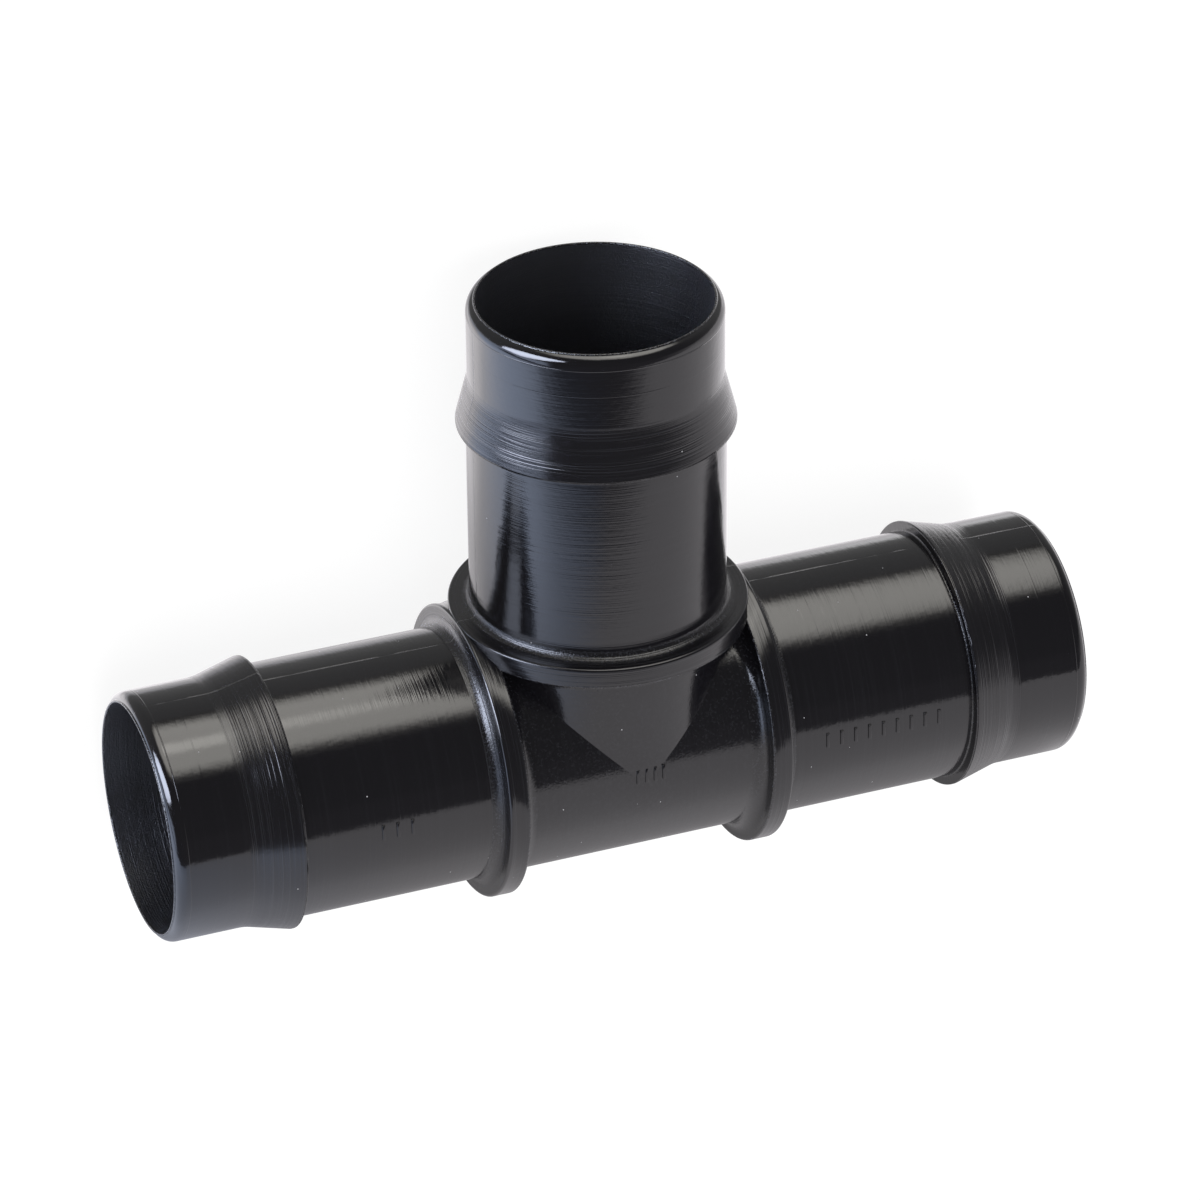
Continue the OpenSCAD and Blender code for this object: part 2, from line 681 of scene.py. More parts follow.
# %% Marks: frost and waves
BORE_GRAIN = 0.3
GRAIN_SCALE = 3600.0
GRAIN_ROUGH = 0.6
MOTTLE_SCALE = 1300.0
WAVE_SCALE = 70.0


def frosty_grain(tree, given):
    """Height of the grain in the corners and in the bore."""
    grain = noise(tree, given["Place"], GRAIN_SCALE, roughness=GRAIN_ROUGH)
    in_bore = product(tree, given["Inside"], BORE_GRAIN)
    strength = calc(tree, "MAXIMUM", given["Frosted"], in_bore)
    return product(tree, grain, strength, given["Frost Height"])


def waves(tree, given):
    """Height of the slow waves and of the mottle."""
    wave = noise(tree, given["Place"], WAVE_SCALE, detail=1.0)
    mottle = noise(tree, given["Place"], MOTTLE_SCALE, detail=1.0)
    wave = product(tree, wave, given["Wave Height"])
    return total(tree, wave, product(tree, mottle, given["Mottle Height"]))


print("grain of about", round(1000 / GRAIN_SCALE, 2), "mm")

# %% [markdown]
# The parting line lies in the plane of the three axes. It comes and goes, as it does
# where the mould closes more tightly. Two fine witness rings on each pilot show where
# the inserts of the mould meet, some millimetres along the outline from the lip.

# %% Marks: parting line and witness rings
PARTING_HALF_WIDE = 0.11
WITNESS_HALF_WIDE = 0.09
LINE_CREST = 0.02
BREAK_SCALE = 150.0
BREAK_CONTRAST = 4.0
BREAK_SHIFT = -0.6
WITNESS_RINGS = ((2.33, 0.6), (5.8, 0.15))


def mould_lines(tree, given):
    """Height of the parting line and of the witness rings, outside the bore."""
    from_plane = calc(tree, "DIVIDE", separate(tree, given["Place"])["Z"], MM)
    from_plane = calc(tree, "ABSOLUTE", from_plane)
    parting = ease(tree, from_plane, PARTING_HALF_WIDE, LINE_CREST)
    breaks = product(tree, noise(tree, given["Place"], BREAK_SCALE), BREAK_CONTRAST)
    lines = product(tree, parting, total(tree, breaks, BREAK_SHIFT))
    for at, strength in WITNESS_RINGS:
        beside = calc(tree, "ABSOLUTE", calc(tree, "SUBTRACT", given["Path"], at))
        witness = ease(tree, beside, WITNESS_HALF_WIDE, LINE_CREST)
        lines = total(tree, lines, product(tree, witness, strength))
    outside = calc(tree, "SUBTRACT", 1.0, given["Inside"])
    return product(tree, lines, outside, given["Line Height"])


print("witness rings at", [at for at, strength in WITNESS_RINGS], "mm from the lip")

# %% [markdown]
# Now the group itself. It adds the heights up, and gives a mask of the places that are
# scuffed paler: the rings a little, specks in the frosty corners, and the bore evenly.

# %% Shader group: mould marks
SPECK_SCALE = 2900.0
SPECK_FULL = 0.2
RING_SCUFF = 0.12
BORE_SCUFF = 0.22
MARK_STRENGTHS = ("Path", "Tooled", "Frosted", "Inside")
MARK_HEIGHTS = ("Ring Height", "Frost Height", "Line Height", "Mottle Height", "Wave Height")


def build_mould_marks():
    """Height in mm of all marks together, and a mask of scuffs."""
    tree, given, result = new_tree(
        "mould marks",
        "ShaderNodeTree",
        inputs={"Place": "Vector", **dict.fromkeys(MARK_STRENGTHS + MARK_HEIGHTS, "Float")},
        outputs={"Height": "Float", "Scuffed": "Float"},
    )
    rings, scuffs = lathe_rings(tree, given)
    others = (frosty_grain(tree, given), mould_lines(tree, given), waves(tree, given))
    tree.links.new(total(tree, rings, *others), result["Height"])

    specks = noise(tree, given["Place"], SPECK_SCALE, detail=1.0)
    specks = product(tree, ease(tree, specks, 0.0, SPECK_FULL), given["Frosted"])
    scuffed = calc(tree, "MAXIMUM", specks, product(tree, scuffs, RING_SCUFF))
    in_bore = product(tree, given["Inside"], BORE_SCUFF)
    tree.links.new(calc(tree, "MAXIMUM", scuffed, in_bore), result["Scuffed"])
    return tree


mould_marks_group = build_mould_marks()
print("mould marks group has", len(mould_marks_group.nodes), "nodes")

# %% [markdown]
# ## The finish, part 2: dust
#
# A black glossy part never looks quite clean. A few pale specks of dust sit on it,
# each about a tenth of a millimetre across. A Voronoi texture scatters one point in
# each cell, and only the cells with a high random value keep theirs.

# %% Shader group: dust
def build_dust():
    """A mask that is 1 on a sparse scatter of specks."""
    tree, given, result = new_tree(
        "dust specks",
        "ShaderNodeTree",
        inputs={
            "Place": "Vector",
            "Per Metre": "Float",
            "Speck Size": "Float",
            "Kept From": "Float",
        },
        outputs={"Mask": "Float"},
    )
    cells = add_node(
        tree,
        "ShaderNodeTexVoronoi",
        {"Vector": given["Place"], "Scale": given["Per Metre"]},
        feature="F1",
    )
    near = calc(tree, "LESS_THAN", cells.outputs["Distance"], given["Speck Size"])
    chance = separate(tree, cells.outputs["Color"])["X"]
    kept = calc(tree, "GREATER_THAN", chance, given["Kept From"])
    tree.links.new(product(tree, near, kept), result["Mask"])
    return tree


dust_group = build_dust()
print("dust group has", len(dust_group.nodes), "nodes")

# %% [markdown]
# ## The finish, part 3: the black plastic itself
#
# The plastic is a nearly black one with the ordinary gloss. Two groups feed it: the
# marks of the mould, with heights in millimetres, and the dust, with the size of a speck
# as a share of the cell that it lies in.

# %% Values of the plastic
BLACK = (0.0075, 0.007, 0.009, 1.0)
SCUFFED = (0.085, 0.09, 0.105, 1.0)
DUST = (0.5, 0.5, 0.53, 1.0)
ROUGH_POLISHED = 0.085
ROUGH_TOOLED = 0.08
ROUGH_FROSTED = 0.14
ROUGH_INSIDE = 0.33
ROUGH_DUST = 0.7

mark_heights = {
    "Ring Height": 0.045,
    "Frost Height": 0.17,
    "Line Height": 0.04,
    "Mottle Height": 0.009,
    "Wave Height": 0.004,
}
dust_values = {"Per Metre": 400.0, "Speck Size": 0.034, "Kept From": 0.55}
print("heights of the marks in mm:", list(mark_heights.values()))

# %% [markdown]
# The roughness is low on the polished stretches and higher on the rings, in the frosty
# corners and in the bore. The material reads what is needed for that from the mesh.

# %% Roughness of the plastic
def attribute(tree, name):
    """A number stored on the mesh."""
    return add_node(tree, "ShaderNodeAttribute", attribute_name=name).outputs["Fac"]


def plastic_roughness(tree, strengths, dust):
    """Roughness from the polish, the marks of the mould and the dust."""
    shares = (("Tooled", ROUGH_TOOLED), ("Frosted", ROUGH_FROSTED), ("Inside", ROUGH_INSIDE))
    marks = [product(tree, strengths[name], share) for name, share in shares]
    roughness = total(tree, ROUGH_POLISHED, *marks)
    return calc(tree, "MAXIMUM", roughness, product(tree, dust, ROUGH_DUST))


print("roughness where polished:", ROUGH_POLISHED)

# %% [markdown]
# A Principled shader makes the gloss. The heights of the marks go through a Bump node,
# whose distance of one millimetre keeps their measure.

# %% Material: moulded black plastic
def black_plastic():
    """The glossy black plastic that the whole tee is moulded from."""
    material = bpy.data.materials.new("moulded black plastic")
    material.use_nodes = True
    tree = material.node_tree
    shader = tree.nodes["Principled BSDF"]
    place = add_node(tree, "ShaderNodeTexCoord").outputs["Object"]
    strengths = {name: attribute(tree, name.lower()) for name in MARK_STRENGTHS}
    marks = add_node(tree, "ShaderNodeGroup", node_tree=mould_marks_group)
    dust = add_node(tree, "ShaderNodeGroup", node_tree=dust_group)
    for group, values in ((marks, {**strengths, **mark_heights}), (dust, dust_values)):
        for name, value in {"Place": place, **values}.items():
            plug(tree, group.inputs[name], value)
    colour = colour_mix(tree, marks.outputs["Scuffed"], BLACK, SCUFFED)
    colour = colour_mix(tree, dust.outputs["Mask"], colour, DUST)
    roughness = plastic_roughness(tree, strengths, dust.outputs["Mask"])
    height = {"Height": marks.outputs["Height"], "Distance": MM, "Strength": 1.0}
    bump = add_node(tree, "ShaderNodeBump", height)
    tree.links.new(colour, shader.inputs["Base Color"])
    tree.links.new(roughness, shader.inputs["Roughness"])
    tree.links.new(bump.outputs["Normal"], shader.inputs["Normal"])
    return material


plastic = black_plastic()
print("plastic has", len(plastic.node_tree.nodes), "nodes")

# %% [markdown]
# ## Making the tee
#
# Each outline becomes a row of loose points that carries the finish of each row.
# The tree reads them, and its result is turned into a plain mesh, because the
# export keeps meshes and not modifiers. A sweep can leave some faces pointing
# inwards, so their direction is set once the halves are welded, and every edge is
# checked to have exactly two faces.

# %% Outline objects
def new_object(name, data):
    """A new object in the scene."""
    made = bpy.data.objects.new(name, data)
    bpy.context.scene.collection.objects.link(made)
    return made


def outline_object(name, rows):
    """An outline as points at (distance, radius), with the finish of each row."""
    mesh = bpy.data.meshes.new(name)
    mesh.from_pydata([(row[0] * MM, row[1] * MM, 0.0) for row in rows], [], [])
    for place, finish in enumerate(FINISHES):
        layer = mesh.attributes.new(finish, "FLOAT", "POINT")
        layer.data.foreach_set("value", [row[2 + place] for row in rows])
    return new_object(name, mesh)


run_line = outline_object("run_outline", run_outline)
branch_line = outline_object("branch_outline", branch_outline)
print("outline points:", len(run_line.data.vertices), len(branch_line.data.vertices))

# %% [markdown]
# Two helpers make a piece: one runs a tree and keeps its result as a plain mesh, and
# the other turns the faces outwards and measures what came out.

# %% Run a tree, and measure the result
def apply_tree(name, mesh, tree, values):
    """Runs a geometry tree on a mesh and returns the result as a plain object."""
    made = new_object(name, mesh)
    modifier = made.modifiers.new("shape", "NODES")
    modifier.node_group = tree
    for label, value in values.items():
        modifier[socket_id(tree, label)] = value
    graph = bpy.context.evaluated_depsgraph_get()
    shaped = bpy.data.meshes.new_from_object(
        made.evaluated_get(graph), preserve_all_data_layers=True, depsgraph=graph
    )
    made.modifiers.remove(modifier)
    made.data = shaped
    shaped.name = name
    return made


def close_and_measure(piece):
    """Turns the faces outwards and prints how large and how closed a mesh is."""
    work = bmesh.new()
    work.from_mesh(piece.data)
    bmesh.ops.recalc_face_normals(work, faces=work.faces)
    open_edges = sum(1 for edge in work.edges if len(edge.link_faces) != 2)
    triangles = sum(len(face.verts) - 2 for face in work.faces)
    volume = work.calc_volume(signed=True) / MM**3
    work.to_mesh(piece.data)
    work.free()
    print(piece.name, "triangles", triangles, "open edges", open_edges, "mm3", round(volume, 1))


print("piece helpers ready")

# %% [markdown]
# A column every two degrees keeps the round outline smooth in a close picture. The weld
# distance of a thousandth of a millimetre joins only points that lie in one place.

# %% Sweep, weld and close the tee
COLUMNS = 181
WELD = 0.001
tee = apply_tree(
    "moulded_tee",
    bpy.data.meshes.new("moulded_tee_start"),
    moulded_tee,
    {
        "Run Outline": run_line,
        "Branch Outline": branch_line,
        "Columns": COLUMNS,
        "Weld Distance": WELD * MM,
        "Material": plastic,
    },
)
close_and_measure(tee)
for line in (run_line, branch_line):
    bpy.data.objects.remove(line)

# %% [markdown]
# ## Raised marks
#
# Fittings like this carry low raised marks that the moulder cuts into the steel.
# Here they are plain tally bars, in three rows on the side that faces up. Each is a
# small block with soft corners, sunk a little into the wall, and stands a sixth of
# a millimetre proud. One block is made and the tree puts a copy on each place,
# turned to lie flat on the round wall.

# %% One bar
BAR_WIDE = 0.42
BAR_TALL = 2.0
BAR_PROUD = 0.17
BAR_SUNK = 0.2
BAR_EDGE = 0.09


def bar_block():
    """One bar: a block with rounded upper edges, its wall line at height zero."""
    mesh = bpy.data.meshes.new("tally_bar")
    work = bmesh.new()
    size = Matrix.Diagonal((BAR_WIDE * MM, BAR_TALL * MM, (BAR_PROUD + BAR_SUNK) * MM, 1.0))
    middle = Matrix.Translation((0.0, 0.0, (BAR_PROUD - BAR_SUNK) / 2 * MM))
    bmesh.ops.create_cube(work, size=1.0, matrix=middle @ size)
    upper = [edge for edge in work.edges if max(v.co.z for v in edge.verts) > 0]
    bmesh.ops.bevel(
        work, geom=upper, offset=BAR_EDGE * MM, segments=3, profile=0.5, affect="EDGES"
    )
    for face in work.faces:
        face.smooth = True
    work.to_mesh(mesh)
    work.free()
    return new_object("tally_bar", mesh)


print("a bar stands proud by", BAR_PROUD, "mm")

# %% [markdown]
# There are three rows: one on each arm and one on the hub. A row starts at a distance
# from the middle, steps on in millimetres, and lies so many degrees round the axis from
# the top.

# %% The places of the bars
bar_rows = (
    {"first": -34.3, "step": 1.9, "count": 3, "around": 4.0},
    {"first": -1.0, "step": 1.15, "count": 4, "around": 4.5},
    {"first": 24.5, "step": 1.9, "count": 9, "around": 2.5},
)


def bar_places():
    """Points on the wall of the run, each with the angle it is turned by."""
    places = []
    turns = []
    for line in bar_rows:
        turn = math.radians(line["around"])
        for number in range(line["count"]):
            x = line["first"] + line["step"] * number
            y = shank_radius * math.sin(turn)
            z = shank_radius * math.cos(turn)
            places.append((x * MM, y * MM, z * MM))
            turns.append(-turn)
    mesh = bpy.data.meshes.new("bar_places")
    mesh.from_pydata(places, [], [])
    layer = mesh.attributes.new("turn", "FLOAT", "POINT")
    layer.data.foreach_set("value", turns)
    return mesh


print("bars:", sum(line["count"] for line in bar_rows))

# %% [markdown]
# The tree itself is short: it puts the block on every point, turns it round the run's
# axis by the angle that the point carries, and gives it the plastic.

# %% Geometry tree: tally bars
def build_raised_bars():
    """The node tree that puts a bar on each place."""
    tree, given, result = new_tree(
        "raised bars",
        "GeometryNodeTree",
        inputs={"Geometry": "Geometry", "Bar": "Object", "Material": "Material"},
        outputs={"Geometry": "Geometry"},
    )
    tree.is_modifier = True
    bar = add_node(tree, "GeometryNodeObjectInfo", {"Object": given["Bar"]})
    placed = add_node(
        tree,
        "GeometryNodeInstanceOnPoints",
        {
            "Points": given["Geometry"],
            "Instance": bar.outputs["Geometry"],
            "Rotation": vector(tree, stored(tree, "turn"), 0.0, 0.0),
        },
    )
    give_material(tree, placed.outputs[0], given, result)
    return tree


raised_bars = build_raised_bars()
print("raised bars has", len(raised_bars.nodes), "nodes")

# %% [markdown]
# The bars become one piece of their own, because they are signs and not part of the
# fitting's form. Each sinks into the wall, so no gap shows under it.

# %% Make the bars
one_bar = bar_block()
bars = apply_tree(
    "tally_bars",
    bar_places(),
    raised_bars,
    {"Bar": one_bar, "Material": plastic},
)
close_and_measure(bars)
bpy.data.objects.remove(one_bar)

# %% [markdown]
# ## The pieces and their body
#
# The swept tee stands for the plain CAD solid, and both pieces move with the one
# body there is. Both are moulded from the same black plastic.

# %% Ride and replace
for piece in (tee, bars):
    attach(piece, "root")
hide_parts("tee_body")
print("pieces:", [piece.name for piece in (tee, bars)])

# %% [markdown]
# ## The camera
#
# The picture was taken from the front, a little from the left and from above, of a
# tee that stands with its branch up. The part lies on its side here, so the same
# view of it comes from high over the floor. The angles are those of the standing
# tee. A turn takes them to the lying one: up becomes +Y and the near side +Z.

# %% Directions of the standing tee
AZIMUTH = math.radians(20.9293)
ELEVATION = math.radians(30.5284)
ROLL = math.radians(-0.5345)


def lying(direction):
    """A direction or place of the standing tee, turned to the lying one."""
    x, y, z = direction
    return Vector((x, z, -y))


nearer = Vector((-math.sin(AZIMUTH), -math.cos(AZIMUTH), 0.0))
level = Vector((math.cos(AZIMUTH), -math.sin(AZIMUTH), 0.0))
back = Vector(
    (
        -math.sin(AZIMUTH) * math.cos(ELEVATION),
        -math.cos(AZIMUTH) * math.cos(ELEVATION),
        math.sin(ELEVATION),
    )
)
upward = back.cross(level)
right = level * math.cos(ROLL) + upward * math.sin(ROLL)
top = upward * math.cos(ROLL) - level * math.sin(ROLL)
print("from the standing tee to the camera:", [round(v, 3) for v in back])

# %% [markdown]
# The camera stands 0.73 m away and is aimed a little above the middle of the run. Its
# focal length is counted in pixels of the square picture, and its lens follows from it.

# %% Camera
PICTURE = 1200.0
FOCAL_PIXELS = 5777.73
AWAY = 727.884
SHIFT_RIGHT = 0.1167
SHIFT_UP = 15.263
SENSOR = 36.0
CLIP_END = 20.0

stand = back * AWAY + right * SHIFT_RIGHT + top * SHIFT_UP
camera_data = bpy.data.cameras.new("camera")
camera_data.sensor_width = SENSOR
camera_data.lens = FOCAL_PIXELS / PICTURE * SENSOR
camera_data.clip_end = CLIP_END
camera = new_object("camera", camera_data)
turned = Matrix((lying(right), lying(top), lying(back))).transposed().to_4x4()
camera.matrix_world = Matrix.Translation(lying(stand) * MM) @ turned
bpy.context.scene.camera = camera
print("camera at", [round(v, 4) for v in camera.matrix_world.translation])
print("lens", round(camera_data.lens, 2), "mm")

# %% [markdown]
# ## The lights that the gloss shows
#
# Black plastic shows its surroundings rather than its own colour. The standing tee
# had an eight-sided softbox straight above it, a white table under it, a low screen
# behind it and a cool window to its left. Each is a card here, turned with the tee,
# and only reflections see it: it isn't in the picture, and it neither lights the
# floor nor shades it.

# %% Cards for the reflections
UNSEEN_BY = ("camera", "diffuse", "shadow", "transmission", "volume_scatter")


def stage_mesh(name, corners, material):
    """A flat card through the given corners, in metres."""
    mesh = bpy.data.meshes.new(name)
    mesh.from_pydata(corners, [], [tuple(range(len(corners)))])
    mesh.materials.append(material)
    made = new_object(name, mesh)
    return made


def only_reflected(card):
    """Leaves a card to the glossy rays alone."""
    for ray in UNSEEN_BY:
        setattr(card, "visible_" + ray, False)


print("a card is hidden from", len(UNSEEN_BY), "kinds of ray")

# %% [markdown]
# A card shines by itself, and another shader may be added to its glow. How brightly it
# shines depends on the place on the card: on where that lies along an axis, or on how
# far it lies from a point in a given direction.

# %% The glow of a card
def glow(name):
    """A material with only an Emission shader; its tree and its shader too."""
    material = bpy.data.materials.new(name)
    material.use_nodes = True
    tree = material.node_tree
    tree.nodes.clear()
    emission = add_node(tree, "ShaderNodeEmission")
    output = add_node(tree, "ShaderNodeOutputMaterial")
    tree.links.new(emission.outputs[0], output.inputs["Surface"])
    material.cycles.emission_sampling = "NONE"
    return material, tree, emission


def add_shader(tree, emission, other):
    """Adds the light of another shader to the glow."""
    surface = emission.outputs[0].links[0].to_socket
    both = add_node(tree, "ShaderNodeAddShader", {0: other.outputs[0], 1: emission.outputs[0]})
    tree.links.new(both.outputs[0], surface)


def spot_in_mm(tree, axis):
    """Where a spot on a card lies along one axis of the lying tee, in millimetres."""
    spot = separate(tree, add_node(tree, "ShaderNodeTexCoord").outputs["Object"])
    return calc(tree, "DIVIDE", spot[axis], MM)


def way_along(tree, start, direction):
    """How far a spot on a card lies from a start in one direction, in metres."""
    spot = add_node(tree, "ShaderNodeTexCoord").outputs["Object"]
    offset = add_node(
        tree, "ShaderNodeVectorMath", {0: spot, 1: lying(start) * MM}, operation="SUBTRACT"
    )
    way = add_node(
        tree,
        "ShaderNodeVectorMath",
        {0: offset.outputs[0], 1: lying(direction)},
        operation="DOT_PRODUCT",
    )
    return way.outputs["Value"]


print("card helpers ready")

# %% [markdown]
# The softbox hangs 0.8 m above the tee, one of its sides towards the camera. The
# polished lips mirror all of it, so its eight sides matter.

# %% The shape of the softbox
BOX_HEIGHT = 800.0
BOX_APOTHEM = 0.62 * BOX_HEIGHT
BOX_NEARER = -40.0
BOX_TO_RIGHT = 116.0
BOX_SIDES = 8

box_centre = nearer * BOX_NEARER + level * BOX_TO_RIGHT + Vector((0.0, 0.0, BOX_HEIGHT))


def softbox_corners():
    """The eight corners of the softbox, square to the camera."""
    half_side = math.pi / BOX_SIDES
    spoke = BOX_APOTHEM / math.cos(half_side)
    corners = []
    for number in range(BOX_SIDES):
        angle = half_side + number * 2 * half_side
        corner = box_centre + (nearer * math.cos(angle) + level * math.sin(angle)) * spoke
        corners.append(lying(corner) * MM)
    return corners


print("softbox across flats:", 2 * BOX_APOTHEM, "mm")

# %% [markdown]
# Its cloth is warm white, brightest over the bulb in its middle, and falls off towards
# its frame. How far a spot lies from the middle is measured square to the nearest side,
# as a share of the height at which the softbox hangs.

# %% The glow of the softbox
BOX_WARM = (1.0, 0.975, 0.92, 1.0)
CLOTH_LEVEL = 4.6
CLOTH_AT_FRAME = 0.3
BULB_LEVEL = 2.6

box_glow, box_tree, box_emission = glow("softbox cloth")
box_emission.inputs["Color"].default_value = BOX_WARM
to_camera, to_right = (
    calc(box_tree, "DIVIDE", way_along(box_tree, box_centre, direction), BOX_HEIGHT * MM)
    for direction in (nearer, level)
)
from_middle = calc(
    box_tree,
    "MAXIMUM",
    calc(box_tree, "ABSOLUTE", to_camera),
    calc(box_tree, "ABSOLUTE", to_right),
)
for slant in (1.0, -1.0):
    slanted = total(box_tree, to_camera, product(box_tree, to_right, slant))
    slanted = calc(box_tree, "DIVIDE", calc(box_tree, "ABSOLUTE", slanted), math.sqrt(2.0))
    from_middle = calc(box_tree, "MAXIMUM", from_middle, slanted)
cloth = ease(box_tree, from_middle, 0.32, 0.58, low=CLOTH_LEVEL, high=CLOTH_AT_FRAME)
bulb = ease(box_tree, from_middle, 0.14, 0.04, high=BULB_LEVEL)
plug(box_tree, box_emission.inputs["Strength"], total(box_tree, cloth, bulb))
only_reflected(stage_mesh("softbox", softbox_corners(), box_glow))
print("softbox glow has", len(box_tree.nodes), "nodes")

# %% [markdown]
# The white table is the plane that the standing tee's collars touch. Its light is
# worked out from where a spot lies beside the run, so some ways of measuring that come
# first: along the run, square to it, in a slanting direction, and round one point.

# %% Measures on the table
table_glow, table_tree, table_emission = glow("white table")
table_x = spot_in_mm(table_tree, "X")
table_z = spot_in_mm(table_tree, "Z")
beside_middle = calc(table_tree, "ABSOLUTE", table_x)


def toward_side(x_share, z_share):
    """How far a spot on the table lies in one level direction, in millimetres."""
    along_run = product(table_tree, table_x, x_share)
    return total(table_tree, along_run, product(table_tree, table_z, z_share))


def glow_round(x, y, stretch, near, far, low, high):
    """A value that changes with the distance from one point of the table."""
    beside = calc(table_tree, "SUBTRACT", table_x, x)
    beyond = product(table_tree, total(table_tree, table_z, y), stretch)
    apart = add_node(
        table_tree,
        "ShaderNodeVectorMath",
        {0: vector(table_tree, beside, beyond, 0.0)},
        operation="LENGTH",
    )
    return ease(table_tree, apart.outputs["Value"], near, far, low, high)


print("measures on the table:", len(table_tree.nodes), "nodes")

# %% [markdown]
# The tee shades the table: close under the run, more widely behind it, and a
# little behind the branch. Past the ends of the run that shade runs out. The pair of
# numbers in each `ease` says between which millimetres the change takes place.

# %% The shade on the table
SHADE_UNDER_RUN = 0.34
SHADE_BEHIND_RUN = 0.45
SHADE_BEHIND_BRANCH = 0.62

from_run = total(
    table_tree,
    calc(table_tree, "ABSOLUTE", table_z),
    ease(table_tree, beside_middle, 44.0, 70.0, high=4.0),
    ease(table_tree, beside_middle, 58.0, 80.0, high=26.0),
)
under_run = ease(table_tree, from_run, 4.0, 20.0, low=SHADE_UNDER_RUN)
in_front = ease(table_tree, table_z, -20.0, 0.0)
past_ends = ease(table_tree, beside_middle, 40.0, 75.0)
behind_run = ease(table_tree, table_z, -62.0, -25.0, low=1.0, high=SHADE_BEHIND_RUN)
behind_run = calc(
    table_tree, "MAXIMUM", behind_run, calc(table_tree, "MAXIMUM", in_front, past_ends)
)
behind_branch = glow_round(
    x=-6.0, y=74.0, stretch=0.5, near=4.0, far=34.0, low=SHADE_BEHIND_BRANCH, high=1.0
)
shade = product(table_tree, under_run, behind_run)
print("with its shade:", len(table_tree.nodes), "nodes")

# %% [markdown]
# The table's painted light grows brighter and bluer towards the window on the left,
# and two pools of brighter painted light lie on it behind the run. Its front edge is
# soft in the reflection. What is called neutral here has the faint pink cast of the
# photo's greys.

# %% The light on the table
TABLE_LEVEL = 1.25
WINDOW_GAIN = 1.65
LEFT_LIGHT_POOL = 0.55
RIGHT_LIGHT_POOL = 0.3
NEUTRAL = (1.0, 0.97, 1.0, 1.0)
WINDOW_BLUE = (0.84, 0.98, 1.3, 1.0)

windowed = product(
    table_tree,
    ease(table_tree, table_x, -33.0, -137.0),
    ease(table_tree, table_z, 35.0, 75.0, low=1.0, high=0.5),
)
left_light_pool = glow_round(
    x=-58.0, y=128.0, stretch=1.0, near=22.0, far=58.0, low=LEFT_LIGHT_POOL, high=0.0
)
right_light_pool = glow_round(
    x=108.0, y=48.0, stretch=1.0, near=20.0, far=60.0, low=RIGHT_LIGHT_POOL, high=0.0
)
table_light = total(table_tree, TABLE_LEVEL, product(table_tree, windowed, WINDOW_GAIN))
table_light = total(table_tree, table_light, total(table_tree, left_light_pool, right_light_pool))
front_edge = ease(table_tree, toward_side(-0.55, 0.835), 80.0, 208.0, low=1.0, high=0.08)
far_end = ease(table_tree, toward_side(-0.81, -0.588), 250.0, 340.0, low=1.0, high=0.85)
table_strength = product(
    table_tree, table_light, shade, front_edge, far_end, behind_branch
)
plug(table_tree, table_emission.inputs["Strength"], table_strength)
tinted = product(
    table_tree,
    ease(table_tree, toward_side(-1.0, 0.8), -20.0, 150.0),
    ease(table_tree, table_x, -20.0, -70.0),
)
table_colour = colour_mix(table_tree, tinted, NEUTRAL, WINDOW_BLUE)
plug(table_tree, table_emission.inputs["Color"], table_colour)
print("with its light:", len(table_tree.nodes), "nodes")

# %% [markdown]
# The table's front edge runs at a slant to the tee, nearer to it on the left. Past the
# edge the cloth on the table hangs down gently, and takes the same light further.

# %% The shape of the table
TABLE_SIDE = 900.0
EDGE_AWAY = 84.0
EDGE_TILT = 0.23
CLOTH_SLOPE = math.tan(math.radians(17.0))
CLOTH_LENGTH = 160.0
UNDER_TEE = 0.1

table_down = -collar_radius - UNDER_TEE
edge_left = EDGE_AWAY - TABLE_SIDE * EDGE_TILT
edge_right = EDGE_AWAY + TABLE_SIDE * EDGE_TILT
cloth_down = table_down - CLOTH_LENGTH * CLOTH_SLOPE
table_corners = (
    (-TABLE_SIDE, table_down, -TABLE_SIDE),
    (-TABLE_SIDE, table_down, edge_left),
    (TABLE_SIDE, table_down, edge_right),
    (TABLE_SIDE, table_down, -TABLE_SIDE),
)
cloth_corners = (
    (-TABLE_SIDE, table_down, edge_left),
    (-TABLE_SIDE, cloth_down, edge_left + CLOTH_LENGTH),
    (TABLE_SIDE, cloth_down, edge_right + CLOTH_LENGTH),
    (TABLE_SIDE, table_down, edge_right),
)
for name, corners in (("table_card", table_corners), ("table_lip", cloth_corners)):
    card = stage_mesh(name, [Vector(corner) * MM for corner in corners], table_glow)
    only_reflected(card)
print("table card at y =", round(table_down, 2), "mm")

# %% [markdown]
# A low white screen stands behind the table, on the right. It only adds to what is
# behind it, so its edges melt away. The top of the right arm mirrors it, and the
# left arm doesn't.

# %% The screen at the back
SCREEN_BACK = 400.0
SCREEN_FROM = 80.0
SCREEN_TO = 600.0
SCREEN_TOP = 110.0
SCREEN_LEVEL = 0.8
SCREEN_FOOT = 0.35

